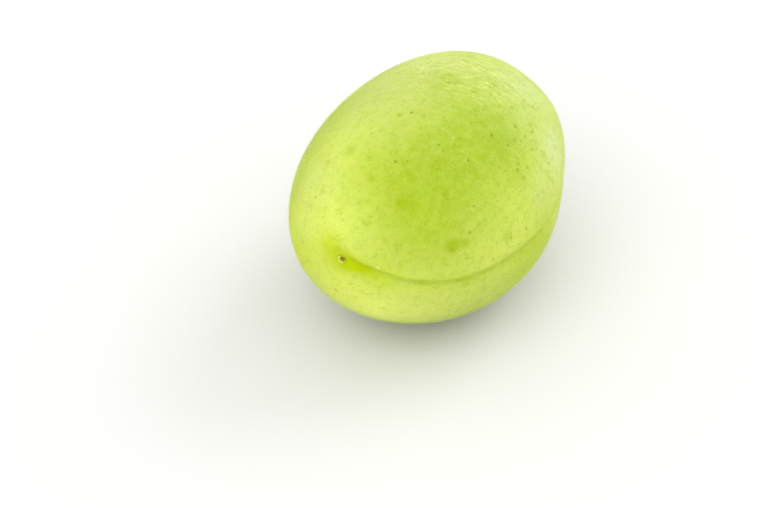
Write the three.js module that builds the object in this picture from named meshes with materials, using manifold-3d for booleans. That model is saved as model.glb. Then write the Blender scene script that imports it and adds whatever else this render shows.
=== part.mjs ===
// A whole green apricot, one solid, lying on its cheek on a small flat spot.
//
// Units are millimetres, +Z is up. The long axis lies along Y: the blossom end, with the tiny scar of the
// flower's style, points to -Y and the stem end to +Y. The suture (the groove that divides the two cheeks)
// runs along the +X side. The origin is under the middle of the fruit, at the height that it rests on.
//
// Every point of the skin is found from two angles. `along` runs from 0 at the style scar to PI at the stem
// scar, and `around` turns about the long axis, from the +X side towards +Z.

import * as THREE from 'three';
import { mergeVertices } from 'three/addons/utils/BufferGeometryUtils.js';
import Module from 'manifold-3d';

// ---- Driving dimensions -----------------------------------------------------------------------------------

// The body is an ellipsoid with these full sizes, before it is made uneven.
const LENGTH = 48.0; // stem end to blossom end
const WIDTH = 36.1; // suture to back
const THICKNESS = 34.8; // cheek to cheek

// How the body differs from the ellipsoid, as shares of its size.
const STEM_END_TAPER = - 0.037; // the stem end is a little slimmer than the blossom end
const END_TAPER = - 0.029; // both ends are a little more pointed
const SUTURE_SIDE_LENGTH = - 0.079; // the suture side is shorter than the back
const UPPER_CHEEK_LENGTH = 0.109; // the upper cheek is longer than the lower one
const UPPER_CHEEK_HEIGHT = 0.016; // and a little fuller

// Broad swells and flats of the body: which way each one faces, how far it spreads and how high it stands.
const SWELLS = [
	{ facing: new THREE.Vector3( 0.70, 0.55, 0.55 ), spread: 0.235, height: 0.79 }, // shoulder by the suture
	{ facing: new THREE.Vector3( 0.92, 0.38, 0.06 ), spread: 0.18, height: - 0.17 }, // flat under that shoulder
	{ facing: new THREE.Vector3( 0.10, 0.95, 0.35 ), spread: 0.30, height: - 0.38 }, // flat above the stem
	{ facing: new THREE.Vector3( - 0.15, - 0.75, - 0.60 ), spread: 0.35, height: 0.15 } // under the blossom end
];

// The style scar stands off the long axis, up and towards the back of the fruit.
const SCAR_DIRECTION = new THREE.Vector3( - 0.052, - 1, 0.236 ).normalize();
const SCAR_SHIFT_REACH = 0.5; // radians of `along` over which that shift fades out
const SCAR_HOLLOW_DEPTH = 0.45;
const SCAR_HOLLOW_RADIUS = 2.0;

// The suture line: `around` of the groove's bottom, with a slow bend and a wave along it, in radians.
const SUTURE_TURN = 0.069;
const SUTURE_BEND = - 0.048;
const SUTURE_WAVE = - 0.024;

// The groove's stretches: how deep each is, where along the fruit it is deepest and how far it reaches.
const GROOVE_AT_SCAR = { depth: 0.85, along: 0.22, reach: 0.17 };
const GROOVE_BETWEEN = { depth: 0.50, fromScar: 0.35 }; // it sets in over this much of `along`
const GROOVE_AT_STEM = { depth: 0.90, along: 2.95, reach: 0.22 };
const GROOVE_FADE = { along: 1.5, softness: 0.14, shareLeft: 0.35 }; // it is shallower on the stem half
const STYLE_SCAR_CLEARANCE = 0.07; // radians of `along` that the groove keeps off the style scar
const STEM_SCAR_CLEARANCE = 0.17; // and off the stem scar

// The groove across its width.
const GROOVE_FLOOR_WIDTH = 0.64; // the groove's floor ends this far up the upper cheek
const GROOVE_FLOOR_SPREAD = { share: 0.55, along: 1.0, softness: 0.1 }; // it is wider past this place
const GROOVE_WALL_STEEPNESS = 3.0; // above 2, the upper cheek rolls over more steeply
const GROOVE_SLOPE_WIDTH = 1.1; // the lower cheek slopes in gently
const GROOVE_SLOPE_STEEPNESS = 1.6;
const LOWER_CHEEK_SET_BACK = 0.45; // share of the depth by which the whole lower cheek stays back
const SET_BACK_REACH = 7.0;
const BACK_CLOSING_POWER = 6; // how late, going round to the back, that set-back closes

// The lip: the upper cheek stands a little proud beside the groove.
const LIP_HEIGHT = 0.16;
const LIP_SETBACK = 1.3; // the lip is highest this far above the groove
const LIP_SPREAD = 1.5;
const LIP_CLEARANCE = 0.3; // radians of `along` that it keeps off the style scar

// The stem cavity.
const CAVITY_DEPTH = 3.5;
const CAVITY_RADIUS = 3.4;
const CAVITY_FLATNESS = 2.6; // above 2, the floor is flatter and the wall steeper

// The flat spot that it rests on is where this much of the roundness is pressed flat.
const FLAT_SPOT_RISE = 0.35;

// The mesh: its counts, and how strongly its lines crowd at the suture and at the two ends.
const COLUMNS = 72;
const ROWS = 54;
const CROWD_AT_SUTURE = 0.68;
const CROWD_AT_ENDS = 0.55;
const WELD_DISTANCE = 1e-5;

const SKIN_COLOUR = 0xc3d754;
const SKIN_ROUGHNESS = 0.55;

// ---- The skin ---------------------------------------------------------------------------------------------

const bell = ( x, width, power = 2 ) => Math.exp( - Math.pow( Math.abs( x / width ), power ) );
const fadeOut = ( x, middle, softness ) => 1 / ( 1 + Math.exp( ( x - middle ) / softness ) );

/** `around` of the groove's bottom at a place along the fruit. */
function sutureAt( along ) {

	return SUTURE_TURN + SUTURE_BEND * Math.cos( along ) + SUTURE_WAVE * Math.sin( 2 * along );

}

/** Direction from the middle of the fruit, shifted near the blossom end so that `along` = 0 is the scar. */
function directionAt( along, around ) {

	const direction = new THREE.Vector3(
		Math.sin( along ) * Math.cos( around ), - Math.cos( along ), Math.sin( along ) * Math.sin( around ) );
	const blossomEnd = new THREE.Vector3( 0, - 1, 0 );
	const shift = SCAR_DIRECTION.clone().sub( blossomEnd );
	return direction.addScaledVector( shift, bell( along, SCAR_SHIFT_REACH ) ).normalize();

}

/** The body without its groove, hollow and cavity. */
function bodyPoint( direction ) {

	const { x, y, z } = direction;
	const slimness = 1 + STEM_END_TAPER * y + END_TAPER * ( y * y - 1 / 3 );
	const point = new THREE.Vector3(
		x * slimness * WIDTH / 2,
		y * ( 1 + SUTURE_SIDE_LENGTH * x + UPPER_CHEEK_LENGTH * z ) * LENGTH / 2,
		z * slimness * ( 1 + UPPER_CHEEK_HEIGHT * z ) * THICKNESS / 2 );
	const middleRadius = ( LENGTH + WIDTH + THICKNESS ) / 6;
	for ( const swell of SWELLS ) {

		const off = direction.distanceTo( swell.facing.clone().normalize() );
		point.multiplyScalar( 1 + swell.height / middleRadius * bell( off, swell.spread * Math.SQRT2 ) );

	}

	return point;

}

/** How far the skin stands out from the body (negative where it sinks in), for the suture and the scar. */
function reliefAt( along, around ) {

	const turn = THREE.MathUtils.euclideanModulo( around - sutureAt( along ) + Math.PI, 2 * Math.PI ) - Math.PI;
	const across = turn * Math.sin( along ) * WIDTH / 2; // millimetres, positive on the upper cheek
	const clearOfScars = ( 1 - bell( along, STYLE_SCAR_CLEARANCE ) )
		* ( 1 - bell( along - Math.PI, STEM_SCAR_CLEARANCE ) );
	const blossomHalf = fadeOut( along, GROOVE_FADE.along, GROOVE_FADE.softness );
	const shareLeft = GROOVE_FADE.shareLeft + ( 1 - GROOVE_FADE.shareLeft ) * blossomHalf;
	const depth = clearOfScars * (
		GROOVE_AT_SCAR.depth * bell( along - GROOVE_AT_SCAR.along, GROOVE_AT_SCAR.reach )
		+ GROOVE_BETWEEN.depth * ( 1 - bell( along, GROOVE_BETWEEN.fromScar ) ) * shareLeft
		+ GROOVE_AT_STEM.depth * bell( along - GROOVE_AT_STEM.along, GROOVE_AT_STEM.reach ) );

	const pastSpread = 1 - fadeOut( along, GROOVE_FLOOR_SPREAD.along, GROOVE_FLOOR_SPREAD.softness );
	const floorWidth = GROOVE_FLOOR_WIDTH * ( 1 + GROOVE_FLOOR_SPREAD.share * pastSpread );
	const upperSide = bell( across, floorWidth, GROOVE_WALL_STEEPNESS );
	const closedBehind = 1 - Math.sin( turn / 2 ) ** BACK_CLOSING_POWER; // no groove opposite the suture
	const slope = ( 1 - LOWER_CHEEK_SET_BACK ) * bell( across, GROOVE_SLOPE_WIDTH, GROOVE_SLOPE_STEEPNESS );
	const lowerSide = closedBehind * ( slope + LOWER_CHEEK_SET_BACK * bell( across, SET_BACK_REACH ) );

	const clearOfScar = 1 - bell( along, LIP_CLEARANCE );
	const lip = LIP_HEIGHT * bell( across - LIP_SETBACK, LIP_SPREAD ) * clearOfScar * blossomHalf;
	const hollow = SCAR_HOLLOW_DEPTH * bell( along * WIDTH / 2, SCAR_HOLLOW_RADIUS );
	return lip - depth * ( across > 0 ? upperSide : lowerSide ) - hollow;

}

/** A point of the finished skin. */
function skinPoint( along, around ) {

	const point = bodyPoint( directionAt( along, around ) );
	const outward = new THREE.Vector3(
		point.x / WIDTH ** 2, point.y / LENGTH ** 2, point.z / THICKNESS ** 2 ).normalize();
	const fromAxis = Math.hypot( point.x, point.z );
	const atStemEnd = point.y > 0;
	point.addScaledVector( outward, reliefAt( along, around ) );
	if ( atStemEnd ) point.y -= CAVITY_DEPTH * bell( fromAxis, CAVITY_RADIUS, CAVITY_FLATNESS );
	return point;

}

/** A sphere's mesh with every vertex moved to its place on the skin. */
function skinGeometry() {

	const sphere = new THREE.SphereGeometry( 1, COLUMNS, ROWS );
	sphere.deleteAttribute( 'normal' );
	sphere.deleteAttribute( 'uv' );
	const geometry = mergeVertices( sphere, WELD_DISTANCE );
	const position = geometry.getAttribute( 'position' );
	for ( let i = 0; i < position.count; i ++ ) {

		const even = new THREE.Vector3().fromBufferAttribute( position, i );
		const evenAlong = Math.acos( THREE.MathUtils.clamp( - even.y, - 1, 1 ) );
		const evenAround = Math.atan2( even.z, even.x );
		const along = evenAlong - CROWD_AT_ENDS * Math.sin( 2 * evenAlong ) / 2;
		const around = sutureAt( along ) + evenAround - CROWD_AT_SUTURE * Math.sin( evenAround );
		const point = skinPoint( along, around );
		position.setXYZ( i, point.x, point.y, point.z );

	}

	return geometry;

}

// ---- Cutting the flat spot --------------------------------------------------------------------------------

const wasm = await Module();
wasm.setup();

function toSolid( geometry ) {

	const bare = geometry.clone();
	bare.deleteAttribute( 'normal' );
	bare.deleteAttribute( 'uv' );
	const merged = mergeVertices( bare, WELD_DISTANCE );
	const vertProperties = new Float32Array( merged.getAttribute( 'position' ).array );
	const triVerts = new Uint32Array( merged.getIndex().array );
	return new wasm.Manifold( new wasm.Mesh( { numProp: 3, vertProperties, triVerts } ) );

}

function toGeometry( solid ) {

	const mesh = solid.getMesh();
	const geometry = new THREE.BufferGeometry();
	geometry.setAttribute( 'position', new THREE.BufferAttribute( new Float32Array( mesh.vertProperties ), 3 ) );
	geometry.setIndex( new THREE.BufferAttribute( new Uint32Array( mesh.triVerts ), 1 ) );
	geometry.computeVertexNormals();
	return geometry;

}

/** The fruit, cut flat at its resting height and moved so that the origin is under its middle. */
function restingFruit() {

	const skin = skinGeometry();
	skin.computeBoundingBox();
	const restHeight = skin.boundingBox.min.z + FLAT_SPOT_RISE;
	const slab = new THREE.BoxGeometry( 2 * LENGTH, 2 * LENGTH, LENGTH );
	slab.translate( 0, 0, restHeight - LENGTH / 2 );
	const geometry = toGeometry( toSolid( skin ).subtract( toSolid( slab ) ) );
	geometry.computeBoundingBox();
	const { min, max } = geometry.boundingBox;
	geometry.translate( - ( min.x + max.x ) / 2, - ( min.y + max.y ) / 2, - min.z );
	return geometry;

}

// ---- The object -------------------------------------------------------------------------------------------

const skinMaterial = new THREE.MeshStandardMaterial( {
	color: SKIN_COLOUR, roughness: SKIN_ROUGHNESS, metalness: 0 } );

const apricot = new THREE.Mesh( restingFruit(), skinMaterial );
apricot.name = 'apricot';

const object = new THREE.Group();
object.add( apricot );

export default object;
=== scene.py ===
"""A whole green apricot with its down, lying on its cheek on a plain pale floor.

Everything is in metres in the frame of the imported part: +Z is up, the blossom end points to -Y, the stem end
to +Y, and the suture runs along the +X side. Inside the node trees, lengths are in millimetres.
"""

from __future__ import annotations

import dataclasses
import logging
import math
from dataclasses import dataclass
from enum import Enum
from types import SimpleNamespace
from typing import Union

import bpy
import numpy as np
from mathutils import Matrix, Vector

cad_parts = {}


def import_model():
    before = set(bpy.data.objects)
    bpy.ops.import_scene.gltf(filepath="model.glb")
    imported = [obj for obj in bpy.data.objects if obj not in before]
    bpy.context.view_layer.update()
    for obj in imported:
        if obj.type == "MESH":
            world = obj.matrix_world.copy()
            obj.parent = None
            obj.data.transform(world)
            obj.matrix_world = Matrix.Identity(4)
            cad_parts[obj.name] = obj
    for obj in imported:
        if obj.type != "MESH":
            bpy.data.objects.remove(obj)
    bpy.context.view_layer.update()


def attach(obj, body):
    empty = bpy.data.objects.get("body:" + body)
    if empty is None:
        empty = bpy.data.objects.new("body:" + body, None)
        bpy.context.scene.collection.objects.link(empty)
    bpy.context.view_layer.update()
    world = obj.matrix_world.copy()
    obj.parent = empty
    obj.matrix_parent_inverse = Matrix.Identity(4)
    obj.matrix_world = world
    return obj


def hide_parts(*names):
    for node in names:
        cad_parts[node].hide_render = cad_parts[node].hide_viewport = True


# Where a name stands for several numbers, a bell is (width, flatness), a band (middle, width, flatness),
# a fade (middle, softness) and a noise (swells to a millimetre, finer layers, roughness).

MM = 0.001
BODY = "root"
NODE = "apricot"
NOISE_MIDDLE = 0.5
SPOT_FLATNESS = 3.0

Place = tuple[float, float, float]
Light = tuple[float, float, float, float]

log = logging.getLogger("apricot")


# ---- Formulas in node trees ----

Number = Union["Wire", float]


class Wire:
    """A number or vector that runs through a node tree, with the arithmetic of ordinary code."""

    def __init__(self, socket: bpy.types.NodeSocket) -> None:
        """Wraps an output socket."""
        self.socket = socket
        self.tree: bpy.types.NodeTree = socket.id_data

    @property
    def is_vector(self) -> bool:
        """Whether the value has three parts."""
        return self.socket.type in ("VECTOR", "RGBA")

    def calculate(self, operation: str, *others: Number) -> Wire:
        """Adds a maths node, with this value first.

        Args:
            operation: The node's operation.
            others: The other values, in order.

        Returns:
            The node's result.
        """
        vector = self.is_vector or any(isinstance(other, Wire) and other.is_vector for other in others)
        maths = self.tree.nodes.new("ShaderNodeVectorMath" if vector else "ShaderNodeMath")
        maths.operation = operation
        for socket, value in zip(maths.inputs, (self, *others)):
            plug(value, socket)
        return Wire(maths.outputs[0])

    def measure(self, operation: str, *others: Number) -> Wire:
        """As calculate, for a vector operation whose result is a number."""
        return Wire(self.calculate(operation, *others).socket.node.outputs["Value"])

    def __add__(self, other: Number) -> Wire:
        """Sum."""
        return self.calculate("ADD", other)

    __radd__ = __add__

    def __sub__(self, other: Number) -> Wire:
        """Difference."""
        return self.calculate("SUBTRACT", other)

    def __rsub__(self, other: float) -> Wire:
        """Difference, from a plain number."""
        return self * -1.0 + other

    def __mul__(self, other: Number) -> Wire:
        """Product. A vector times a number is scaled.

        Args:
            other: The other factor.

        Returns:
            The product.
        """
        if not self.is_vector or (isinstance(other, Wire) and other.is_vector):
            return self.calculate("MULTIPLY", other)
        scale = {"operation": "SCALE"}
        return Wire(place_node(self.tree, "ShaderNodeVectorMath", scale, Vector=self, Scale=other).outputs[0])

    __rmul__ = __mul__

    def __truediv__(self, other: Number) -> Wire:
        """Quotient."""
        if self.is_vector and isinstance(other, Wire) and not other.is_vector:
            return self * (other ** -1.0)
        return self.calculate("DIVIDE", other)

    def __pow__(self, power: Number) -> Wire:
        """Power."""
        return self.calculate("POWER", power)

    def __neg__(self) -> Wire:
        """The value with its sign changed."""
        return self * -1.0

    def sin(self) -> Wire:
        """Sine, of radians."""
        return self.calculate("SINE")

    def cos(self) -> Wire:
        """Cosine, of radians."""
        return self.calculate("COSINE")

    def at_most(self, other: Number) -> Wire:
        """The smaller of the two."""
        return self.calculate("MINIMUM", other)

    def at_least(self, other: Number) -> Wire:
        """The larger of the two."""
        return self.calculate("MAXIMUM", other)

    def above(self, limit: Number) -> Wire:
        """1 where the value is more than the limit, else 0."""
        return self.calculate("GREATER_THAN", limit)

    def bell(self, width: Number, power: float = 2.0) -> Wire:
        """A bell curve: 1 where the value is 0, and 1/e at the width. More power gives a flatter top."""
        return (-((self / width).calculate("ABSOLUTE") ** power)).calculate("EXPONENT")

    def band(self, middle: Number, width: Number, power: float = 2.0) -> Wire:
        """A bell curve around a middle other than 0."""
        return (self - middle).bell(width, power)

    def spot(self, middle: Place, reach: float, power: float = SPOT_FLATNESS) -> Wire:
        """How near this point is to another: 1 at the other, and 1/e at the reach."""
        return self.distance(middle).bell(reach, power)

    def beyond(self, limit: float, slope: float) -> Wire:
        """0 up to the limit, and from there on the slope times what is past it."""
        return (self - limit).at_least(0.0) * slope

    def fade_out(self, middle: Number, softness: Number) -> Wire:
        """Goes smoothly from 1, well under the middle, to 0, well over it."""
        return (((self - middle) / softness).calculate("EXPONENT") + 1.0) ** -1.0

    def part(self, name: str) -> Wire:
        """One of a vector's parts: X, Y or Z."""
        return Wire(place_node(self.tree, "ShaderNodeSeparateXYZ", Vector=self).outputs[name])

    def unit(self) -> Wire:
        """The vector at a length of 1."""
        return self.calculate("NORMALIZE")

    def distance(self, other: Number) -> Wire:
        """How far two points are from each other."""
        return self.measure("DISTANCE", other)

    def distance_to_line(self, start: Place, end: Place) -> Wire:
        """How far a point is from a straight line.

        Args:
            start: One end of the line.
            end: The other end.

        Returns:
            The distance.
        """
        span = Vector(end) - Vector(start)
        from_start = self - start
        share = from_start.measure("DOT_PRODUCT", tuple(span)) / span.length_squared
        share = share.at_most(1.0).at_least(0.0)
        return from_start.distance(join(*(share * part for part in span)))

    def length(self) -> Wire:
        """The vector's length."""
        return self.measure("LENGTH")

    def noise(self, per_mm: float, detail: float, roughness: float = 0.5, layer: Wire | None = None) -> Wire:
        """Smooth unevenness at this place, from about -0.5 to 0.5.

        Args:
            per_mm: Swells to a millimetre.
            detail: Finer layers on the first.
            roughness: Strength of each finer layer, as a share of the one before.
            layer: A fourth measure that the unevenness also changes with.

        Returns:
            The unevenness.
        """
        values = {"Vector": self, "Scale": per_mm, "Detail": detail, "Roughness": roughness}
        if layer:
            values["W"] = layer
        settings = {"noise_dimensions": "4D" if layer else "3D"}
        return Wire(place_node(self.tree, "ShaderNodeTexNoise", settings, **values).outputs[0]) - NOISE_MIDDLE


def plug(value: object, socket: bpy.types.NodeSocket) -> None:
    """Gives an input its value, by a link where the value is a wire.

    Args:
        value: A wire, or a plain number, colour or vector.
        socket: The input.
    """
    if isinstance(value, Wire):
        value.tree.links.new(value.socket, socket)
    elif isinstance(value, (int, float)) and socket.type == "VECTOR":
        socket.default_value = (value,) * 3
    else:
        socket.default_value = value


def join(x: Number, y: Number, z: Number) -> Wire:
    """A vector from its three parts, at least one of which is a wire."""
    tree = next(part.tree for part in (x, y, z) if isinstance(part, Wire))
    return Wire(place_node(tree, "ShaderNodeCombineXYZ", X=x, Y=y, Z=z).outputs[0])


def place_node(tree: bpy.types.NodeTree, kind: str, settings: dict | None = None,
               **values: object) -> bpy.types.Node:
    """Adds a node and fills it in.

    Args:
        tree: The tree to add it to.
        kind: The node's type name.
        settings: Its own properties, such as a mode.
        values: Its inputs by name, with underscores for spaces.

    Returns:
        The node.
    """
    made = tree.nodes.new(kind)
    for name, value in (settings or {}).items():
        setattr(made, name, value)
    for name, value in values.items():
        plug(value, made.inputs[name.replace("_", " ")])
    return made


# ---- Trees with named inputs ----


class GrowingTree:
    """A Geometry Nodes tree whose named inputs come from the fields of a dataclass of sizes."""

    def __init__(self, name: str, sizes: object) -> None:
        """Makes the tree with one input for each size, and one for the material.

        Args:
            name: The tree's name.
            sizes: A dataclass of numbers and vectors.
        """
        self.sizes = sizes
        self.tree = bpy.data.node_groups.new(name, "GeometryNodeTree")
        face = self.tree.interface
        face.new_socket(name="Surface", in_out="INPUT", socket_type="NodeSocketGeometry")
        kinds = {int: "NodeSocketInt", float: "NodeSocketFloat", tuple: "NodeSocketVector"}
        for item, value in dataclasses.asdict(sizes).items():
            face.new_socket(name=item, in_out="INPUT", socket_type=kinds[type(value)])
        face.new_socket(name="finish", in_out="INPUT", socket_type="NodeSocketMaterial")
        face.new_socket(name="Result", in_out="OUTPUT", socket_type="NodeSocketGeometry")
        inputs = self.tree.nodes.new("NodeGroupInput").outputs
        self.given = SimpleNamespace(**{socket.name: Wire(socket) for socket in inputs if socket.name})

    def node(self, kind: str, settings: dict | None = None, **values: object) -> bpy.types.Node:
        """Adds a node to this tree, as place_node does."""
        return place_node(self.tree, kind, settings, **values)

    def result(self, kind: str, settings: dict | None = None, **values: object) -> Wire:
        """The first output of a node that is added as place_node does."""
        return Wire(self.node(kind, settings, **values).outputs[0])

    def sphere(self) -> Wire:
        """A sphere of radius 1 about the origin, with the sizes' columns and rows."""
        return self.result("GeometryNodeMeshUVSphere", Segments=self.given.columns,
                           Rings=self.given.rows, Radius=1.0)

    def position(self) -> Wire:
        """Where each point of the geometry is."""
        return self.result("GeometryNodeInputPosition")

    def move(self, geometry: Wire, position: Wire) -> Wire:
        """The geometry with each point at a new position."""
        return self.result("GeometryNodeSetPosition", Geometry=geometry, Position=position)

    def recalled(self, name: str) -> Wire:
        """A value that the points of the surface carry."""
        made = self.node("GeometryNodeInputNamedAttribute", {"data_type": "FLOAT"}, Name=name)
        return Wire(made.outputs["Attribute"])

    def chance(self, low: float, high: float, seed: int) -> Wire:
        """A random number for each point.

        Args:
            low: The lowest.
            high: The highest.
            seed: What the random draw starts from.

        Returns:
            The numbers.
        """
        made = self.node("FunctionNodeRandomValue", {"data_type": "FLOAT"})
        numbers = {socket.name: socket for socket in made.inputs if socket.type == "VALUE"}
        numbers["Min"].default_value, numbers["Max"].default_value = low, high
        made.inputs["Seed"].default_value = seed
        return Wire(next(socket for socket in made.outputs if socket.type == "VALUE"))

    def remember(self, geometry: Wire, name: str, value: Wire) -> Wire:
        """The mesh with a value stored on every point, for the material to read."""
        return self.result("GeometryNodeStoreNamedAttribute", {"data_type": "FLOAT", "domain": "POINT"},
                           Geometry=geometry, Name=name, Value=value)

    def finish(self, geometry: Wire) -> None:
        """Ends the tree: instances made real, smooth faces and the material.

        Args:
            geometry: The finished shape.
        """
        real = self.result("GeometryNodeRealizeInstances", Geometry=geometry)
        smooth = self.result("GeometryNodeSetShadeSmooth", Geometry=real)
        dressed = self.result("GeometryNodeSetMaterial", Geometry=smooth, Material=self.given.finish)
        plug(dressed, self.tree.nodes.new("NodeGroupOutput").inputs[0])

    def grow(self, name: str, material: bpy.types.Material,
             surface: bpy.types.Mesh | None = None) -> bpy.types.Object:
        """Runs the tree and keeps its result as a plain mesh.

        Args:
            name: The new object's name.
            material: What the tree dresses its result in.
            surface: The mesh that the tree works on, if any.

        Returns:
            The object, with no modifier left.
        """
        made = bpy.data.objects.new(name, surface.copy() if surface else bpy.data.meshes.new(name))
        bpy.context.scene.collection.objects.link(made)
        modifier = made.modifiers.new("growth", "NODES")
        modifier.node_group = self.tree
        values = {**dataclasses.asdict(self.sizes), "finish": material}
        for item in self.tree.interface.items_tree:
            if item.name in values:
                modifier[item.identifier] = values[item.name]
        depsgraph = bpy.context.evaluated_depsgraph_get()
        mesh = bpy.data.meshes.new_from_object(made.evaluated_get(depsgraph), preserve_all_data_layers=True,
                                               depsgraph=depsgraph)
        made.modifiers.remove(modifier)
        made.data = mesh
        mesh.name = name
        return made


# ---- The fruit's body ----


@dataclass(frozen=True)
class FruitSizes:
    """Sizes of the skin, in millimetres and radians. Shares are of the body's own size.

    `along` runs from 0 at the style scar to pi at the stem scar, and `around` turns about the long axis from
    the suture side up to the upper cheek.
    """

    length: float = 48.0
    width: float = 36.1
    thickness: float = 34.8
    stem_end_taper: float = -0.037
    end_taper: float = -0.029
    suture_side_length: float = -0.079
    upper_cheek_length: float = 0.109
    upper_cheek_height: float = 0.016
    shoulder_facing: Place = (0.70, 0.55, 0.55)
    shoulder_spread: float = 0.235
    shoulder_height: float = 0.79
    suture_flat_facing: Place = (0.92, 0.38, 0.06)
    suture_flat_spread: float = 0.18
    suture_flat_height: float = -0.17
    stem_flat_facing: Place = (0.10, 0.95, 0.35)
    stem_flat_spread: float = 0.30
    stem_flat_height: float = -0.38
    chin_facing: Place = (-0.15, -0.75, -0.60)
    chin_spread: float = 0.35
    chin_height: float = 0.15
    scar_facing: Place = (-0.052, -1.0, 0.236)
    scar_shift_reach: float = 0.5
    scar_hollow_depth: float = 0.45
    scar_hollow_radius: float = 2.0
    scar_socket_depth: float = 0.35
    scar_socket_radius: float = 0.55
    suture_turn: float = 0.069
    suture_bend: float = -0.048
    suture_wave: float = -0.024
    groove_depth_at_scar: float = 0.85
    groove_depth: float = 0.50
    groove_depth_at_stem: float = 0.90
    groove_stop_at_stem: float = 0.17
    groove_faded_share: float = 0.35
    groove_floor_width: float = 0.64
    groove_floor_spread: float = 0.55
    groove_wall_steepness: float = 3.0
    groove_slope_width: float = 1.1
    groove_wobble: float = 0.7
    groove_patchiness: float = 1.2
    lower_cheek_set_back: float = 0.45
    set_back_reach: float = 7.0
    lip_height: float = 0.16
    lip_setback: float = 1.3
    lip_spread: float = 1.5
    cavity_depth: float = 3.5
    cavity_radius: float = 3.4
    crease_depth: float = 0.16
    crease_count: int = 9
    lump_height: float = 0.22
    pucker_height: float = 0.03
    flat_spot_rise: float = 0.35
    columns: int = 432
    rows: int = 216
    crowd_at_suture: float = 0.68
    crowd_at_ends: float = 0.55


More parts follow.
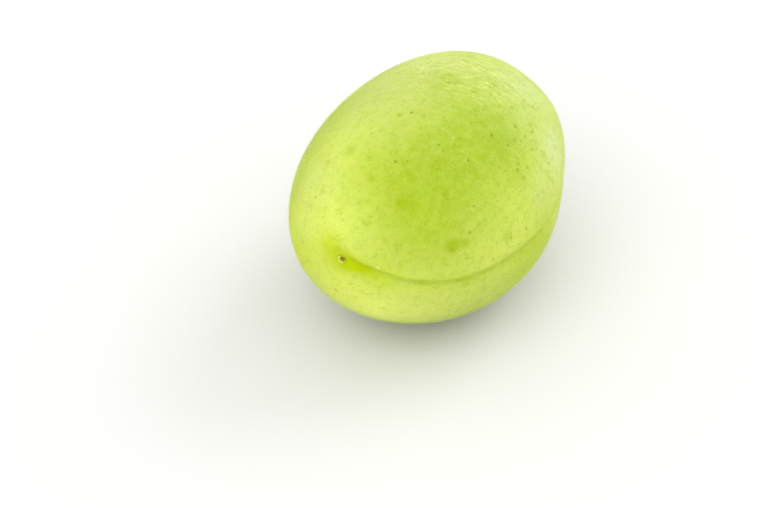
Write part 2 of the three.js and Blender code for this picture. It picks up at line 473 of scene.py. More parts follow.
class SkinTree(GrowingTree):
    """Grows the fruit's skin from a sphere.

    Its methods share some wires: `along` and `around` as in the sizes, the `turn` from the groove's bottom,
    which is positive on the upper cheek, the same `across` in millimetres, the point of the plain `body`, how
    far that is `from_axis`, and whether it is in the `stem_half`.
    """

    BLOSSOM_END = (0.0, -1.0, 0.0)
    SWELLS = ("shoulder", "suture_flat", "stem_flat", "chin")
    LUMPS = (0.11, 1.0)
    PUCKER = (0.9, 2.0)

    # The groove. `along` is in radians from the style scar, and `across` in millimetres from its bottom.
    WOBBLE = (0.6, 3.0)
    STEADY_AT_SCAR = 0.25
    STEADY_AT_STEM = 0.4
    STOP_AT_SCAR = 0.07
    BLOSSOM_HALF = (1.5, 0.14)
    PATCHES = (0.3, 2.0)
    DEEP_AT_SCAR = (0.22, 0.17)
    DEEP_AT_STEM = (2.95, 0.22)
    DEEP_FROM = 0.35
    NARROW_HALF = (1.0, 0.1)
    SLOPE_FLATNESS = 1.6
    BACK_CLOSING_POWER = 6.0
    LIP_FROM = 0.3
    SOCKET_FLATNESS = 4.0

    # The stem cavity.
    CAVITY_FLATNESS = 2.6
    FOLD_SWING = (0.25, 1.0)
    FOLD_SWING_TURN = 5.0

    # The zones: the lime wedge beside the style scar, painted shade on the floor of the groove and in a
    # wide band below it, a brighter lime painted on the groove's upper edge to offset its shade and sheen,
    # and where the down is thin.
    WEDGE_ALONG = (0.16, 0.12, 2.5)
    WEDGE_ACROSS = (-0.1, 1.5, 2.5)
    SCAR_RING = (0.13, 3.0)
    SCAR_RING_SHARE = 0.75
    NEAR_WEDGE = (0.38, 4.0)
    FLOOR = (-0.05, 0.5, 3.0)
    FLOOR_SHARE = 0.45
    SHADE = (-0.6, 1.1, 2.5)
    SHADE_SHARE = 0.22
    LINE_END = (2.0, 0.15)
    EDGE = (0.8, 0.4)
    EDGE_END = (2.4, 0.15)
    HOLLOW_ALONG = (0.18, 0.22)
    HOLLOW_ACROSS = (-0.4, 1.3)
    HOLLOW_BARENESS = 0.85
    BARE_GROOVE = (0.1, 1.1, 4.0)
    GROOVE_BARENESS = 0.97

    def __init__(self, sizes: FruitSizes) -> None:
        """Builds the whole tree.

        Args:
            sizes: The fruit's sizes.
        """
        super().__init__("apricot_skin_growth", sizes)
        self.along, self.around = self.angles(self.position())
        self.turn = (self.around - self.suture(self.along)).calculate("WRAP", math.pi, -math.pi)
        self.body = self.body_point(self.direction())
        self.across = self.turn * self.along.sin() * self.given.width * 0.5 + self.groove_wobble()
        self.from_axis = join(self.body.part("X"), 0.0, self.body.part("Z")).length()
        self.stem_half = self.body.part("Y").above(0.0)
        box = join(self.given.width, self.given.length, self.given.thickness)
        outward = (self.body / box / box).unit()
        lumps = self.body.noise(*self.LUMPS) * self.given.lump_height
        pucker = self.body.noise(*self.PUCKER) * self.given.pucker_height
        cavity = self.from_axis.bell(self.given.cavity_radius, self.CAVITY_FLATNESS) * self.stem_half
        raised = self.body + outward * (self.relief() + (lumps + pucker))
        sunk = raised - join(0.0, cavity * self.given.cavity_depth, 0.0)
        geometry = self.sphere()
        for name, value in {"along": self.along, "cavity": cavity, **self.zones()}.items():
            geometry = self.remember(geometry, name, value)
        self.finish(self.set_down(self.move(geometry, sunk + outward * self.creases())))

    def angles(self, start: Wire) -> tuple[Wire, Wire]:
        """`along` and `around` of a point of the sphere, crowded where the skin needs finer faces.

        Args:
            start: The point. The sphere's poles are up and down.

        Returns:
            The two angles.
        """
        even_along = (-start.part("Z")).at_most(1.0).at_least(-1.0).calculate("ARCCOSINE")
        even_around = (-start.part("Y")).calculate("ARCTAN2", start.part("X"))
        along = even_along - (even_along * 2.0).sin() * self.given.crowd_at_ends * 0.5
        around = self.suture(along) + even_around - even_around.sin() * self.given.crowd_at_suture
        return along, around

    def suture(self, along: Wire) -> Wire:
        """`around` of the groove's bottom."""
        wave = self.given.suture_wave * (along * 2.0).sin()
        return self.given.suture_turn + self.given.suture_bend * along.cos() + wave

    def groove_wobble(self) -> Wire:
        """How far the groove strays from its line.

        Returns:
            Millimetres across.
        """
        at_stem = self.along.band(math.pi, self.STEADY_AT_STEM)
        clear_of_ends = (1.0 - self.along.bell(self.STEADY_AT_SCAR)) * (1.0 - at_stem)
        return self.body.noise(*self.WOBBLE) * self.given.groove_wobble * clear_of_ends

    def zones(self) -> dict[str, Wire]:
        """Where the skin has its lime, painted shade and painted light about the groove, or its down.

        Returns:
            The shares, from 0 to 1, by the names that they are stored under.
        """
        along, across = self.along, self.across
        wedge = along.band(*self.WEDGE_ALONG) * across.band(*self.WEDGE_ACROSS)
        lime = wedge + along.bell(*self.SCAR_RING) * self.SCAR_RING_SHARE
        clear_of_wedge = 1.0 - along.bell(*self.NEAR_WEDGE)
        # Painted shade: the floor of the groove and a wide band below it are coloured darker.
        floor = across.band(*self.FLOOR) * self.FLOOR_SHARE + across.band(*self.SHADE) * self.SHADE_SHARE
        line = floor * clear_of_wedge * along.fade_out(*self.LINE_END)
        # Painted light: a brighter lime on the groove's upper edge, against the shade and sheen on its steep
        # wall.
        edge = across.band(*self.EDGE) * clear_of_wedge * along.fade_out(*self.EDGE_END)
        in_hollow = along.band(*self.HOLLOW_ALONG) * across.band(*self.HOLLOW_ACROSS)
        in_groove = across.band(*self.BARE_GROOVE)
        furred = (1.0 - in_hollow * self.HOLLOW_BARENESS) * (1.0 - in_groove * self.GROOVE_BARENESS)
        return {"lime": lime, "line": line, "edge": edge, "furred": furred}

    def direction(self) -> Wire:
        """Which way a point of the skin lies from the fruit's middle.

        Returns:
            A vector of length 1.
        """
        ring, around = self.along.sin(), self.around
        plain = join(ring * around.cos(), -self.along.cos(), ring * around.sin())
        shift = self.given.scar_facing.unit() - self.BLOSSOM_END
        return (plain + shift * self.along.bell(self.given.scar_shift_reach)).unit()

    def body_point(self, direction: Wire) -> Wire:
        """The body without its groove, hollow and cavity.

        Args:
            direction: Which way the point lies from the middle.

        Returns:
            The point, in millimetres from the middle.
        """
        x, y, z = (direction.part(name) for name in "XYZ")
        slimness = self.given.stem_end_taper * y + self.given.end_taper * (y * y - 1.0 / 3.0) + 1.0
        lengthening = self.given.suture_side_length * x + self.given.upper_cheek_length * z + 1.0
        rising = self.given.upper_cheek_height * z + 1.0
        point = join(x * slimness * self.given.width * 0.5,
                     y * lengthening * self.given.length * 0.5,
                     z * slimness * rising * self.given.thickness * 0.5)
        middle_radius = (self.given.length + self.given.width + self.given.thickness) / 6.0
        for swell in self.SWELLS:
            off = direction.distance(getattr(self.given, swell + "_facing").unit())
            rise = getattr(self.given, swell + "_height") / middle_radius
            point = point * (off.bell(getattr(self.given, swell + "_spread") * math.sqrt(2.0)) * rise + 1.0)
        return point

    def relief(self) -> Wire:
        """How far the skin stands out from the body at the suture and the style scar.

        Returns:
            The height, which is negative where the skin sinks in.
        """
        along, across = self.along, self.across
        at_stem = along.band(math.pi, self.given.groove_stop_at_stem)
        clear_of_scars = (1.0 - along.bell(self.STOP_AT_SCAR)) * (1.0 - at_stem)
        blossom_half = along.fade_out(*self.BLOSSOM_HALF)
        faded = self.given.groove_faded_share
        patchiness = self.body.noise(*self.PATCHES) * self.given.groove_patchiness + 1.0
        between = (1.0 - along.bell(self.DEEP_FROM)) * (faded + (1.0 - faded) * blossom_half)
        along_groove = (
            self.given.groove_depth_at_scar * along.band(*self.DEEP_AT_SCAR)
            + self.given.groove_depth * between
            + self.given.groove_depth_at_stem * along.band(*self.DEEP_AT_STEM))
        depth = clear_of_scars * along_groove * patchiness
        spread = self.given.groove_floor_spread * (1.0 - along.fade_out(*self.NARROW_HALF))
        floor_width = self.given.groove_floor_width * (spread + 1.0)
        upper_side = across.bell(floor_width, self.given.groove_wall_steepness)
        back = self.given.lower_cheek_set_back
        slope = across.bell(self.given.groove_slope_width, self.SLOPE_FLATNESS)
        closed_behind = 1.0 - (self.turn * 0.5).sin() ** self.BACK_CLOSING_POWER
        lower_side = ((1.0 - back) * slope + back * across.bell(self.given.set_back_reach)) * closed_behind
        on_upper = across.above(0.0)
        groove = depth * (on_upper * upper_side + (1.0 - on_upper) * lower_side)
        lip_across = across.band(self.given.lip_setback, self.given.lip_spread)
        lip = self.given.lip_height * lip_across * (1.0 - along.bell(self.LIP_FROM)) * blossom_half
        from_scar = along * self.given.width * 0.5
        hollow = from_scar.bell(self.given.scar_hollow_radius) * self.given.scar_hollow_depth
        socket_wall = from_scar.bell(self.given.scar_socket_radius, self.SOCKET_FLATNESS)
        socket = socket_wall * self.given.scar_socket_depth
        return lip - groove - hollow - socket

    def creases(self) -> Wire:
        """Short folds that run down into the stem cavity.

        Returns:
            Their height.
        """
        swing = self.body.noise(*self.FOLD_SWING) * self.FOLD_SWING_TURN
        folds = (self.around * self.given.crease_count + swing).sin()
        on_wall = self.from_axis.band(self.given.cavity_radius, self.given.cavity_radius * 0.5)
        return folds * on_wall * self.given.crease_depth * self.stem_half

    def set_down(self, geometry: Wire) -> Wire:
        """Presses the underside flat, puts the origin under the middle and turns millimetres into metres.

        Args:
            geometry: The fruit about its own middle.

        Returns:
            The fruit in the frame of the part.
        """
        place = self.position()
        box = self.node("GeometryNodeAttributeStatistic", {"data_type": "FLOAT_VECTOR"}, Geometry=geometry)
        plug(place, box.inputs["Attribute"])
        lowest, highest = Wire(box.outputs["Min"]), Wire(box.outputs["Max"])
        middle = (lowest + highest) * 0.5
        rest_height = lowest.part("Z") + self.given.flat_spot_rise
        raised = place - join(middle.part("X"), middle.part("Y"), rest_height)
        pressed = join(raised.part("X"), raised.part("Y"), raised.part("Z").at_least(0.0))
        return self.move(geometry, pressed * MM)


# ---- Scars ----


@dataclass(frozen=True)
class ScarSizes:
    """Sizes of a dry round scar, in millimetres. Shares are of its radius."""

    radius: float = 0.62
    rim_height: float = 0.16
    rim_share: float = 0.74
    rim_spread_share: float = 0.22
    rim_side: Place = (-0.8, -0.6, 0.0)
    pit_depth: float = 0.30
    pit_spread_share: float = 0.42
    pit_offset: Place = (0.16, 0.12, 0.0)
    raggedness: float = 1.1
    crumb_height: float = 0.24
    crumb_size: float = 0.30
    root_depth: float = 0.45
    lift: float = 0.35
    columns: int = 96
    rows: int = 64


class ScarTree(GrowingTree):
    """Grows a round scar with a crumbly rim and a pit, closed underneath, with its middle at the origin."""

    WANDER = (1.6, 2.0)
    CRUMBS = (1.0, 3.0)
    CRUMBS_FROM_MIDDLE = 2.0
    RIM_WANDER = 0.8
    LEAST_RIM = 0.05
    PIT_WANDER = 0.4
    OUTLINE_WANDER = 0.6
    EDGE_POWER = 6.0
    TINY = 0.001

    def __init__(self, sizes: ScarSizes) -> None:
        """Builds the whole tree.

        Args:
            sizes: The scar's sizes.
        """
        super().__init__("scar_growth", sizes)
        start = self.position()
        flat = join(start.part("X"), start.part("Y"), 0.0)
        out = flat.length()
        wander = flat.noise(*self.WANDER) * self.given.raggedness * out
        radius = self.given.radius
        crumb_place = start * radius / self.given.crumb_size
        crumbs = crumb_place.noise(*self.CRUMBS) * self.given.crumb_height
        side = (flat / out.at_least(self.TINY)).measure("DOT_PRODUCT", self.given.rim_side)
        rim_strength = (side * 0.5 + 0.5 + wander * self.RIM_WANDER).at_least(self.LEAST_RIM)
        rim = (out - self.given.rim_share + wander).bell(self.given.rim_spread_share) * rim_strength
        from_pit = (flat - self.given.pit_offset).length() + wander * self.PIT_WANDER
        pit = from_pit.bell(self.given.pit_spread_share)
        crumbled = crumbs * (out * self.CRUMBS_FROM_MIDDLE).at_most(1.0)
        height = rim * self.given.rim_height - pit * self.given.pit_depth + crumbled
        on_top = start.part("Z").above(0.0)
        edge = 1.0 - out ** self.EDGE_POWER
        lift = on_top * height * edge + (1.0 - on_top) * edge * -self.given.root_depth
        spread = radius * (wander * self.OUTLINE_WANDER + 1.0)
        point = join(start.part("X") * spread, start.part("Y") * spread, lift)
        geometry = self.remember(self.sphere(), "from_pit", from_pit)
        geometry = self.remember(geometry, "rise", rim + crumbs)
        self.finish(self.move(geometry, point * MM))


# ---- The down ----


@dataclass(frozen=True)
class DownSizes:
    """The down on one stretch of the skin: lengths in millimetres."""

    hairs_per_square_mm: float = 27.0
    hair_length: float = 0.32
    hair_radius: float = 0.008
    lean: float = 0.9
    untidiness: float = 0.55
    from_y: float = -30.0
    to_y: float = 30.0
    seed: int = 3


class DownTree(GrowingTree):
    """Plants short straight hairs on the skin. Each is a pyramid with three sides."""

    CLEAR_OF_SCAR = 0.05
    CLEAR_OF_STEM = 3.05
    CLEAR_OF_FLOOR = 0.05
    LOWEST = 0.00001
    COMB_PER_MM = 0.16
    COMB_STRENGTH = 4.0
    MESS_SEEDS = (11, 12, 13)
    LENGTHS = (0.5, 1.3, 14)
    THICKNESSES = (0.7, 1.2, 15)

    def __init__(self, sizes: DownSizes) -> None:
        """Builds the whole tree.

        Args:
            sizes: The sizes and the stretch of skin.
        """
        super().__init__("down_growth", sizes)
        place = self.position() * (1 / MM)
        y = place.part("Y")
        here = y.above(self.given.from_y) * (1.0 - y.above(self.given.to_y))
        along = self.recalled("along")
        clear_of_scars = along.above(self.CLEAR_OF_SCAR) * (1.0 - along.above(self.CLEAR_OF_STEM))
        clear = clear_of_scars * place.part("Z").above(self.CLEAR_OF_FLOOR)
        thick = here * clear * self.recalled("furred")
        spots = self.node("GeometryNodeDistributePointsOnFaces", {"distribute_method": "RANDOM"},
                          Mesh=self.given.Surface, Seed=self.given.seed,
                          Density=thick * self.given.hairs_per_square_mm * (1 / MM ** 2))
        outward = Wire(spots.outputs["Normal"])
        comb = self.swirl(place) * self.given.lean
        mess = join(*(self.chance(-1.0, 1.0, seed) for seed in self.MESS_SEEDS))
        along_skin = outward.calculate("CROSS_PRODUCT", comb)
        direction = (outward + along_skin + mess * self.given.untidiness).unit()
        turned = self.result("FunctionNodeAlignRotationToVector", {"axis": "Z"}, Vector=direction)
        length = self.given.hair_length * self.chance(*self.LENGTHS) * MM
        thickness = self.given.hair_radius * self.chance(*self.THICKNESSES) * MM
        hair = self.result("GeometryNodeMeshCone", {"fill_type": "NGON"}, Vertices=3, Radius_Top=0.0,
                           Radius_Bottom=1.0, Depth=1.0)
        planted = self.result("GeometryNodeInstanceOnPoints", Instance=hair, Rotation=turned,
                              Points=Wire(spots.outputs["Points"]),
                              Scale=join(thickness, thickness, length))
        real = self.result("GeometryNodeRealizeInstances", Geometry=planted)
        tip = self.position()
        above_floor = join(tip.part("X"), tip.part("Y"), tip.part("Z").at_least(self.LOWEST))
        self.finish(self.move(real, above_floor))

    def swirl(self, place: Wire) -> Wire:
        """A direction that turns slowly from place to place."""
        made = self.node("ShaderNodeTexNoise", Vector=place, Scale=self.COMB_PER_MM, Detail=1.0)
        return (Wire(made.outputs["Color"]) - NOISE_MIDDLE) * self.COMB_STRENGTH


# ---- Finishes ----


def shade(code: str) -> Light:
    """A colour as light with an alpha of 1, from its code on a screen, by the sRGB curve."""
    parts = (part / 255 for part in bytes.fromhex(code))
    return (*(p / 12.92 if p <= 0.04045 else ((p + 0.055) / 1.055) ** 2.4 for p in parts), 1.0)


@dataclass(frozen=True)
class Layer:
    """A colour that comes in where a pattern passes a limit, and how fast it does."""

    colour: str
    limit: float
    slope: float


@dataclass(frozen=True)
class Blotch:
    """A soft patch on the skin: its place and reach in millimetres, and how strong it is at its middle."""

    place: Place
    reach: float
    strength: float


def blotches(*rows: tuple[float, ...]) -> tuple[Blotch, ...]:
    """Blotches from rows of x, y, z, reach and strength."""
    return tuple(Blotch(row[:3], *row[3:]) for row in rows)


@dataclass(frozen=True)
class Tone:
    """A broad part of the skin with a colour laid over it, its own tone or painted light or shade: its middle
    and reach in millimetres.
    """

    part: str
    colour: str
    place: Place
    reach: float
    strength: float


@dataclass(frozen=True)
class Dots:
    """Small dots strewn over the skin, one to a cell at most, and thickest on one side of the fruit.

    The radius and the edge are shares of a cell. The side's place and reach are in millimetres.
    """

    kind: str
    colour: str
    per_mm: float
    radius: float
    edge: float
    strength: float
    side: Place
    reach: float = 13.0


class Finish:
    """A material whose colour is laid on in coats."""

    def __init__(self, name: str, base: str) -> None:
        """Makes the material with a plain shader.

        Args:
            name: The material's name.
            base: The code of the colour under all coats.
        """
        self.material = bpy.data.materials.new(name)
        self.material.use_nodes = True
        self.tree = self.material.node_tree
        self.shader = self.tree.nodes["Principled BSDF"]
        self.colour: Wire | Light = shade(base)

    def place(self) -> Wire:
        """Where a point is, in millimetres in the frame of the part."""
        return Wire(self.tree.nodes.new("ShaderNodeTexCoord").outputs["Object"]) * (1 / MM)

    def remembered(self, name: str) -> Wire:
        """A value that the mesh carries."""
        return Wire(place_node(self.tree, "ShaderNodeAttribute", {"attribute_name": name}).outputs["Fac"])

    def coat(self, share: Number, colour: str, label: str = "") -> None:
        """Lays a colour over the colour so far.

        Args:
            share: How much of it covers, from 0 to 1.
            colour: Its code.
            label: What it is for, written on the node.
        """
        mixed = self.tree.nodes.new("ShaderNodeMix")
        mixed.data_type, mixed.clamp_factor, mixed.label = "RGBA", True, label
        plug(share, mixed.inputs["Factor"])
        under, over = (socket for socket in mixed.inputs if socket.type == "RGBA")
        plug(self.colour, under)
        plug(shade(colour), over)
        self.colour = Wire(next(socket for socket in mixed.outputs if socket.type == "RGBA"))

    def mark(self, place: Wire, marks: tuple[Blotch, ...], colour: str, ragged: Wire) -> None:
        """Lays soft marks over the colour so far.

        Args:
            place: Where a point is, in millimetres.
            marks: The marks.
            colour: The code of their colour.
            ragged: Unevenness of their edges.
        """
        for mark in marks:
            off = place.distance(mark.place) / mark.reach + ragged
            self.coat(off.bell(1.0, SPOT_FLATNESS) * mark.strength, colour)

    def done(self, **values: object) -> bpy.types.Material:
        """Fills in the shader.

        Args:
            values: Its inputs apart from the colour, by name, with underscores for spaces.

        Returns:
            The material.
        """
        for name, value in {"Base_Color": self.colour, **values}.items():
            plug(value, self.shader.inputs[name.replace("_", " ")])
        return self.material


@dataclass(frozen=True)
class SkinFinish:
    """Pale green skin: greener on the crown, partly painted shade; lime in the hollow; painted shade in the
    groove.
    """

    pale: str = "bdca58"
    dull: str = "adb862"
    # Painted shade: the colour of the underside and the far side, darker and greener.
    flank_shade: str = "98a828"
    # Partly painted shade: the crown's green is the skin's own and also stands in for its darker look where it
    # faces the camera.
    green: str = "8aa21c"
    bruise: str = "8ea400"
    lime: str = "a6b700"
    # Painted shade in the groove.
    groove: str = "93a60e"
    # Painted light: the brighter lime on the groove's upper edge.
    edge: str = "b0c810"
    fleck: str = "5c6c00"
    sheen: str = "f2f7d0"
    fresh: Layer = Layer("a2cc3c", 0.0, 0.6)
    tan: Layer = Layer("b8b844", 0.0, 0.5)
    dapple: Layer = Layer("98aa08", 0.04, 1.9)
    # Pale streaks; the same colour also paints a highlight on the lip of the groove.
    dust_and_highlight: Layer = Layer("ccd67e", 0.03, 2.6)
    deep: Layer = Layer("7f9a18", 0.04, 2.0)
    cavity: Layer = Layer("8c9c10", 0.35, 1.1)
    crown_start: Place = (6.5, -14.5, 29.5)
    crown_end: Place = (9.0, -2.5, 31.5)
    crown_reach: float = 9.2
    brushed: Place = (0.0, 9.0, 33.5)
    brushed_reach: float = 10.0
    smooth: Place = (2.0, -21.0, 11.0)
    smooth_reach: float = 9.0
    back: Place = (-6.0, 3.0, 33.0)
    back_reach: float = 15.0
    dots: tuple[Dots, ...] = (
        Dots("pores", "6a8000", 1.25, 0.17, 0.05, 0.9, (13.0, 0.0, 28.0)),
        Dots("fine pores", "7c9200", 1.7, 0.22, 0.08, 0.6, (13.0, 0.0, 28.0)),
        Dots("freckles", "869a00", 0.65, 0.20, 0.08, 0.7, (5.0, -7.0, 30.0), 22.0),
        Dots("pale specks", "ccd67e", 0.77, 0.12, 0.04, 0.28, (13.0, 0.0, 28.0)),
    )
    tones: tuple[Tone, ...] = (
        # Painted shadow: a darker green on the lower cheek of the suture side.
        Tone("suture side", "a8bc28", (18.0, -2.0, 13.0), 6.5, 0.8),
        # Painted sheen: the shoulder is paler and whiter.
        Tone("shoulder", "a8b874", (11.0, 13.0, 29.0), 10.5, 0.5),
        Tone("top of the back", "d0d494", (-3.2, 7.5, 33.4), 3.5, 0.2),
        # Painted sheen: paler and whiter right of the crown, towards its edge.
        Tone("right of the crown", "bccc84", (17.0, 1.0, 23.8), 3.4, 0.35),
        Tone("beside the crown", "9cac20", (1.0, -17.0, 30.2), 4.5, 0.35),
        Tone("left of the back", "b8c274", (-8.0, -18.0, 27.0), 4.0, 0.35),
        Tone("left of the crown", "d2dd6c", (-1.5, -20.6, 26.3), 5.5, 0.25),
        # Painted light: the chin is paler, as if lit from below by the floor.
        Tone("chin", "d2dd6c", (4.5, -20.0, 10.0), 8.0, 0.7),
        Tone("behind the scar", "bac62c", (-9.5, -21.0, 18.0), 5.5, 0.75),
        # Painted sheen and rim light: the left, right and top rims are paler and whiter.
        Tone("left rim", "c4d07c", (-8.5, -21.5, 21.8), 2.6, 0.35),
        Tone("right rim", "d0d9b4", (15.5, 7.7, 25.0), 3.8, 0.35),
        Tone("top rim", "c4cfa4", (7.5, 12.4, 30.8), 4.0, 0.3),
        # Painted light: the bottom rim is paler, as if lit from below by the floor.
        Tone("bottom rim", "e2ec70", (3.0, -21.3, 11.3), 3.5, 0.6),
        Tone("above the scar", "b4c124", (-2.7, -23.2, 22.3), 2.0, 0.8),
        Tone("below the groove", "a8ba10", (4.4, -21.8, 19.2), 2.6, 0.5),
        Tone("under the scar", "d0da54", (-1.0, -22.8, 15.0), 3.5, 0.65),
        Tone("foot of the crown", "a2b60a", (8.5, -17.2, 26.4), 5.0, 0.25),
    )
    marks: tuple[Blotch, ...] = blotches(
        (4.8, -17.4, 28.9, 0.6, 0.9), (5.5, -16.9, 29.0, 1.4, 0.5), (11.9, -15.6, 23.3, 1.1, 0.8),
        (13.0, -14.2, 23.2, 0.8, 0.6), (-5.2, -13.7, 31.4, 0.9, 0.45), (0.3, 2.6, 34.7, 3.0, 0.3),
        (16.3, -8.3, 21.8, 0.8, 0.3), (-9.0, 6.0, 29.0, 1.6, 0.4), (-14.0, -6.0, 20.0, 1.2, 0.4),
        (12.0, 10.0, 8.0, 1.4, 0.4), (-10.0, 8.0, 7.0, 1.5, 0.4))
    # The first is a painted highlight on the lip of the groove.
    pale_spots: tuple[Blotch, ...] = blotches(
        (4.4, -22.5, 21.1, 0.25, 0.9), (0.0, -22.9, 15.3, 0.9, 0.45))
    flecks: tuple[Blotch, ...] = blotches(
        (1.8, -13.6, 32.1, 0.26, 0.6), (-0.3, -5.8, 34.4, 0.20, 0.8), (-1.9, -23.2, 14.7, 0.35, 0.4),
        (10.8, -14.0, 8.8, 0.25, 0.7), (11.3, 3.0, 30.9, 0.30, 0.5), (9.3, 5.6, 31.8, 0.28, 0.5),
        (13.1, -13.1, 24.3, 0.25, 0.7), (10.0, -1.7, 31.9, 0.24, 0.6), (12.1, -0.7, 30.4, 0.22, 0.5),
        (12.7, 3.2, 29.6, 0.22, 0.5), (14.1, 2.7, 28.2, 0.22, 0.5), (12.5, -11.0, 27.1, 0.22, 0.5),
        (0.8, 2.7, 34.7, 0.30, 0.5), (-12.5, 3.0, 27.0, 0.30, 0.6), (-15.5, -9.0, 12.0, 0.25, 0.6),
        (14.0, 9.0, 11.0, 0.30, 0.6))

    CLOUD = (0.12, 3.0)
    MOTTLE = (0.8, 3.0, 0.65)
    GRAIN = (3.5, 3.0, 0.6)
    FINE_GRAIN = (9.0, 3.0)
    HUE = (0.55, 2.0)
    WISP = (1.0, 3.0, 0.7)
    WISP_PER_MM = 0.6
    WISP_LAYERS_PER_MM = 1.5
    WISP_FULL_FROM = 16.0
    WISP_LEAST = 0.4
    BRUSHED_FLATNESS = 4.0
    BRUSHED_SHARE = 1.3
    CROWN_FLATNESS = 2.5
    CROWN_SHARE = 0.86
    CROWN_MOTTLE = 0.5
    CROWN_GRAIN = 0.35
    PLAIN_MOTTLE = 0.3
    UNDERSIDE = (7.0, 1.5)
    FAR_SIDE = (-12.0, 1.5)
    CLOUD_ON_BACK = 0.4
    CLOUD_ON_FLANK = 0.3
    CLOUD_ON_CROWN = 0.35
    DAPPLE_GRAIN = 0.9
    BLOTCH_RAGGEDNESS = 0.8
    FLECK_RAGGEDNESS = 0.5
    LINE_SHARE = 0.75
    EDGE_SHARE = 0.6
    BUMP_FINE_SHARE = 0.5
    DOT_PATCHES = (0.1, 1.0)
    DOT_PATCH_CONTRAST = 2.0
    DOT_PATCH_MIDDLE = 0.5
    DOT_EDGES = (2.8, 2.0)
    DOT_RAGGEDNESS = 0.5
    DOT_LUCK_POWER = 2.5
    SIDE_CROWD = 0.6
    LEAST_CROWD = 0.4
    MOST_CROWD = 1.2
    SMOOTH_BARENESS = 0.5

    def material(self) -> bpy.types.Material:
        """Lays on all coats.

        Returns:
            The material.
        """
        skin = Finish("apricot_skin", self.pale)
        place = skin.place()
        cloud, hue = place.noise(*self.CLOUD), place.noise(*self.HUE)
        mottle, grain = place.noise(*self.MOTTLE), place.noise(*self.GRAIN)
        wisp = self.wisps(place)
        off_crown = place.distance_to_line(self.crown_start, self.crown_end)
        crown = off_crown.bell(self.crown_reach, self.CROWN_FLATNESS)
        skin.coat(place.spot(self.back, self.back_reach) + cloud * self.CLOUD_ON_BACK, self.dull, "back")
        # Painted shade: the underside and the far side are coloured darker and greener.
        flank_shade = place.part("Z").fade_out(*self.UNDERSIDE) + place.part("X").fade_out(*self.FAR_SIDE)
        skin.coat(flank_shade + cloud * self.CLOUD_ON_FLANK, self.flank_shade, "flank_shade")
        uneven = mottle * (crown * self.CROWN_MOTTLE + self.PLAIN_MOTTLE) + grain * crown * self.CROWN_GRAIN
        # The crown: partly the skin's own greener patch, partly painted shade where the skin faces the camera.
        skin.coat(crown * self.CROWN_SHARE + cloud * self.CLOUD_ON_CROWN + uneven, self.green, "crown")
        for tone in self.tones:
            skin.coat(place.spot(tone.place, tone.reach) * tone.strength, tone.colour, tone.part)
        dapple = mottle + grain * self.DAPPLE_GRAIN
        for pattern, layer in ((hue, self.fresh), (-hue, self.tan), (dapple, self.dapple), (wisp, self.dust_and_highlight),
                               (-wisp, self.deep)):
            skin.coat(pattern.beyond(layer.limit, layer.slope), layer.colour)
        skin.mark(place, self.marks, self.bruise, mottle * self.BLOTCH_RAGGEDNESS)
        self.dot(skin, place)
        skin.coat(skin.remembered("lime"), self.lime, "lime")
        # Painted shade in the groove, strongest on its floor and in a band below it.
        skin.coat(skin.remembered("line") * (mottle + self.LINE_SHARE), self.groove, "groove")
        # Painted light: a brighter lime on the groove's upper edge, against its shade and sheen.
        skin.coat(skin.remembered("edge") * self.EDGE_SHARE, self.edge, "edge")
        cavity = skin.remembered("cavity").beyond(self.cavity.limit, self.cavity.slope)
        skin.coat(cavity, self.cavity.colour, "cavity")
        skin.mark(place, self.flecks, self.fleck, grain * self.FLECK_RAGGEDNESS)
        # Pale spots, the first a painted highlight on the lip of the groove.
        skin.mark(place, self.pale_spots, self.dust_and_highlight.colour, grain * self.FLECK_RAGGEDNESS)
        height = grain + place.noise(*self.FINE_GRAIN) * self.BUMP_FINE_SHARE
        bump = place_node(skin.tree, "ShaderNodeBump", Strength=0.5, Distance=0.0001, Height=height)
        return skin.done(Roughness=0.55, Specular_IOR_Level=0.04, Normal=Wire(bump.outputs[0]),
                         Subsurface_Weight=0.12, Subsurface_Scale=0.002, Subsurface_Radius=(1.0, 0.9, 0.25),
                         Sheen_Weight=0.12, Sheen_Roughness=0.4, Sheen_Tint=shade(self.sheen))

    def wisps(self, place: Wire) -> Wire:
        """Streaks that run around the crown, strongest on the brushed shoulder.

        Args:
            place: Where a point is, in millimetres.

        Returns:
            Unevenness around 0.
        """
        from_crown = place.distance(self.crown_start)
        layer = from_crown * self.WISP_LAYERS_PER_MM
        streaks = (place * self.WISP_PER_MM).noise(*self.WISP, layer=layer)
        brushed = place.spot(self.brushed, self.brushed_reach, self.BRUSHED_FLATNESS) * self.BRUSHED_SHARE
        return streaks * (from_crown / self.WISP_FULL_FROM).at_most(1.0) * (brushed + self.WISP_LEAST)

    def dot(self, skin: Finish, place: Wire) -> None:
        """Strews pores, freckles and pale specks over the skin, some stronger than others.

        Args:
            skin: The finish that they are part of.
            place: Where a point is, in millimetres.
        """
        patchy = place.noise(*self.DOT_PATCHES) * self.DOT_PATCH_CONTRAST + self.DOT_PATCH_MIDDLE
        plain = 1.0 - place.spot(self.smooth, self.smooth_reach) * self.SMOOTH_BARENESS
        ragged = place.noise(*self.DOT_EDGES) * self.DOT_RAGGEDNESS
        for dots in self.dots:
            crowd = patchy + place.spot(dots.side, dots.reach) * self.SIDE_CROWD
            crowd = crowd.at_least(self.LEAST_CROWD).at_most(self.MOST_CROWD) * plain
            cells = place_node(skin.tree, "ShaderNodeTexVoronoi", Vector=place, Scale=dots.per_mm)
            near = Wire(cells.outputs["Distance"]) + ragged
            luck = Wire(cells.outputs["Color"]).part("X")
            strength = luck ** self.DOT_LUCK_POWER * dots.strength * crowd
            skin.coat(near.fade_out(dots.radius, dots.edge) * strength, dots.colour, dots.kind)


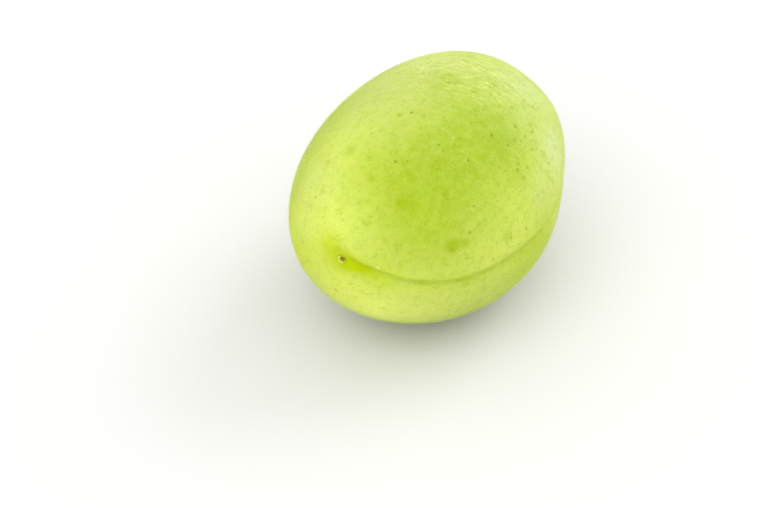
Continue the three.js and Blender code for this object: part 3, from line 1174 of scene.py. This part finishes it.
@dataclass(frozen=True)
class ScarFinish:
    """Dry tissue: pale straw on the rim, brown in the pit."""

    name: str = "style_scar"
    rim: str = "ccd068"
    dry: str = "a0a424"
    pit: str = "77720e"
    pit_reach: float = 0.52
    pit_softness: float = 0.05
    pit_raggedness: float = 0.9
    rim_fade: tuple[float, float] = (0.45, 0.06)
    crumbs: tuple[float, float] = (7.0, 3.0)

    def material(self) -> bpy.types.Material:
        """Lays on all coats.

        Returns:
            The material.
        """
        scar = Finish(self.name, self.rim)
        scar.coat(scar.remembered("rise").fade_out(*self.rim_fade), self.dry, "dry")
        from_pit = scar.remembered("from_pit") + scar.place().noise(*self.crumbs) * self.pit_raggedness
        scar.coat(from_pit.fade_out(self.pit_reach, self.pit_softness), self.pit, "pit")
        return scar.done(Roughness=0.75, Specular_IOR_Level=0.2)


@dataclass(frozen=True)
class PlainFinish:
    """One even colour."""

    name: str
    colour: str
    roughness: float

    def material(self) -> bpy.types.Material:
        """Makes the material."""
        return Finish(self.name, self.colour).done(Roughness=self.roughness, Specular_IOR_Level=0.2)


# ---- The stage ----


def way_to(azimuth: float, elevation: float) -> Vector:
    """The way from the fruit to an eye or a lamp. The azimuth turns from -Y towards +X, in degrees."""
    turn, rise = math.radians(azimuth), math.radians(elevation)
    return Vector((math.sin(turn) * math.cos(rise), -math.cos(turn) * math.cos(rise), math.sin(rise)))


def aim(name: str, data: bpy.types.ID, way: Vector) -> bpy.types.Object:
    """Adds a camera or a lamp to the scene.

    Args:
        name: The object's name.
        data: The camera or the lamp.
        way: The way from the fruit to it. It looks or shines back along that.

    Returns:
        The object.
    """
    made = bpy.data.objects.new(name, data)
    made.rotation_mode = "QUATERNION"
    made.rotation_quaternion = (-way).to_track_quat("-Z", "Y")
    bpy.context.scene.collection.objects.link(made)
    return made


@dataclass(frozen=True)
class Camera:
    """The camera. In its frame of 757 by 508 the fruit stands a little right of the middle and above it."""

    azimuth: float = 30.95
    elevation: float = 41.03
    distance: float = 0.258
    lens: float = 85.0
    sensor: float = 36.0
    clip: tuple[float, float] = (0.01, 20.0)
    frame: tuple[float, float] = (757.0, 508.0)
    fruit_in_frame: tuple[float, float] = (433.1, 189.1)
    fruit_middle: Place = (-0.00001, 0.00036, 0.01695)

    def place(self) -> None:
        """Makes the camera and gives it to the scene."""
        back = way_to(self.azimuth, self.elevation)
        right = way_to(self.azimuth + 90.0, 0.0)
        up = back.cross(right)
        per_pixel = self.distance * self.sensor / self.lens / self.frame[0]
        aside = (self.fruit_in_frame[0] - self.frame[0] / 2) * per_pixel
        above = (self.frame[1] / 2 - self.fruit_in_frame[1]) * per_pixel
        data = bpy.data.cameras.new("camera")
        data.lens, data.sensor_width = self.lens, self.sensor
        data.clip_start, data.clip_end = self.clip
        camera = aim("camera", data, back)
        camera.location = Vector(self.fruit_middle) + back * self.distance - right * aside - up * above
        bpy.context.scene.camera = camera


@dataclass(frozen=True)
class Lamp:
    """A far, wide and soft lamp."""

    name: str
    azimuth: float
    elevation: float
    strength: float
    width: float

    def place(self) -> None:
        """Hangs the lamp, whose light comes from its azimuth and elevation."""
        data = bpy.data.lights.new(self.name, "SUN")
        data.energy, data.angle = self.strength, math.radians(self.width)
        aim(self.name, data, way_to(self.azimuth, self.elevation))


@dataclass(frozen=True)
class Studio:
    """A pale floor under soft white light."""

    floor_reach: float = 6.0
    floor_finish: PlainFinish = PlainFinish("floor", "cdcdcb", 0.9)
    air_strength: float = 1.25
    lamps: tuple[Lamp, ...] = (
        Lamp("front", 0.0, 45.0, 1.25, 60.0),
        Lamp("behind", 155.0, 35.0, 1.0, 40.0),
    )

    def build(self) -> None:
        """Lays the floor, hangs the lamps and fills the air with light."""
        mesh = bpy.data.meshes.new("floor")
        corners = ((-1, -1), (1, -1), (1, 1), (-1, 1))
        mesh.from_pydata([(x * self.floor_reach, y * self.floor_reach, 0) for x, y in corners], [],
                         [(0, 1, 2, 3)])
        floor = bpy.data.objects.new("floor", mesh)
        bpy.context.scene.collection.objects.link(floor)
        mesh.materials.append(self.floor_finish.material())
        for lamp in self.lamps:
            lamp.place()
        world = bpy.data.worlds.new("air")
        world.use_nodes = True
        background = world.node_tree.nodes["Background"]
        background.inputs["Color"].default_value = (1.0, 1.0, 1.0, 1.0)
        background.inputs["Strength"].default_value = self.air_strength
        bpy.context.scene.world = world
        bpy.context.scene.view_settings.view_transform = "Standard"


# ---- The apricot ----


class End(Enum):
    """The two ends of the fruit."""

    BLOSSOM = "blossom"
    STEM = "stem"


@dataclass(frozen=True)
class Apricot:
    """The whole fruit."""

    sizes: FruitSizes = FruitSizes()
    skin_finish: SkinFinish = SkinFinish()
    style_scar: ScarSizes = ScarSizes()
    style_scar_finish: ScarFinish = ScarFinish()
    stem_scar: ScarSizes = ScarSizes(radius=1.35, rim_height=0.25, pit_depth=0.25, crumb_height=0.30,
                                     crumb_size=0.45, root_depth=0.8, lift=0.4)
    stem_scar_finish: ScarFinish = ScarFinish("stem_scar", "a89a5c", "8a7a3c", "5d4a20", 0.6)
    down: DownSizes = DownSizes()
    down_finish: PlainFinish = PlainFinish("down", "dce88c", 0.6)
    down_pieces: tuple[str, ...] = ("down_blossom_end", "down_waist", "down_stem_end")
    down_ends: tuple[float, ...] = (-30.0, -8.0, 8.0, 30.0)
    down_share_when_quick: float = 0.3

    def build(self) -> None:
        """Grows the skin, then the scars and the down on it."""
        skin = SkinTree(self.sizes).grow("skin", self.skin_finish.material())
        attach(skin, BODY)
        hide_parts(NODE)
        log.info("skin: %d faces", len(skin.data.polygons))
        self.grow_scar(self.style_scar, self.style_scar_finish, skin.data, End.BLOSSOM)
        self.grow_scar(self.stem_scar, self.stem_scar_finish, skin.data, End.STEM)
        self.grow_down(skin.data)

    def grow_scar(self, sizes: ScarSizes, finish: ScarFinish, skin: bpy.types.Mesh, end: End) -> None:
        """Grows a scar and sets it on the skin at one end of the fruit.

        Args:
            sizes: The scar's sizes.
            finish: Its finish, which also names the piece.
            skin: The finished skin.
            end: The end that it is at.
        """
        along = np.empty(len(skin.vertices), np.float32)
        skin.attributes["along"].data.foreach_get("value", along)
        spot = skin.vertices[int(along.argmin() if end is End.BLOSSOM else along.argmax())]
        scar = ScarTree(sizes).grow(finish.name, finish.material())
        turn = Vector(spot.normal).to_track_quat("Z", "Y").to_matrix().to_4x4()
        scar.data.transform(Matrix.Translation(spot.co + spot.normal * MM * sizes.lift) @ turn)
        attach(scar, BODY)
        log.info("%s: %d faces", finish.name, len(scar.data.polygons))

    def grow_down(self, skin: bpy.types.Mesh) -> None:
        """Plants the down, in one piece for each stretch of the fruit's length.

        Args:
            skin: The finished skin.
        """
        finish = self.down_finish.material()
        hairs = self.down.hairs_per_square_mm * 1.0
        for name, low, high in zip(self.down_pieces, self.down_ends, self.down_ends[1:]):
            sizes = dataclasses.replace(self.down, from_y=low, to_y=high, hairs_per_square_mm=hairs)
            down = DownTree(sizes).grow(name, finish, skin)
            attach(down, BODY)
            log.info("%s: %d faces", name, len(down.data.polygons))


def main() -> None:
    """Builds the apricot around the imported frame, and the stage around the apricot."""
    logging.basicConfig(level=logging.INFO, format="%(message)s")
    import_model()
    Camera().place()
    Apricot().build()
    Studio().build()


if __name__ == "__main__":
    main()
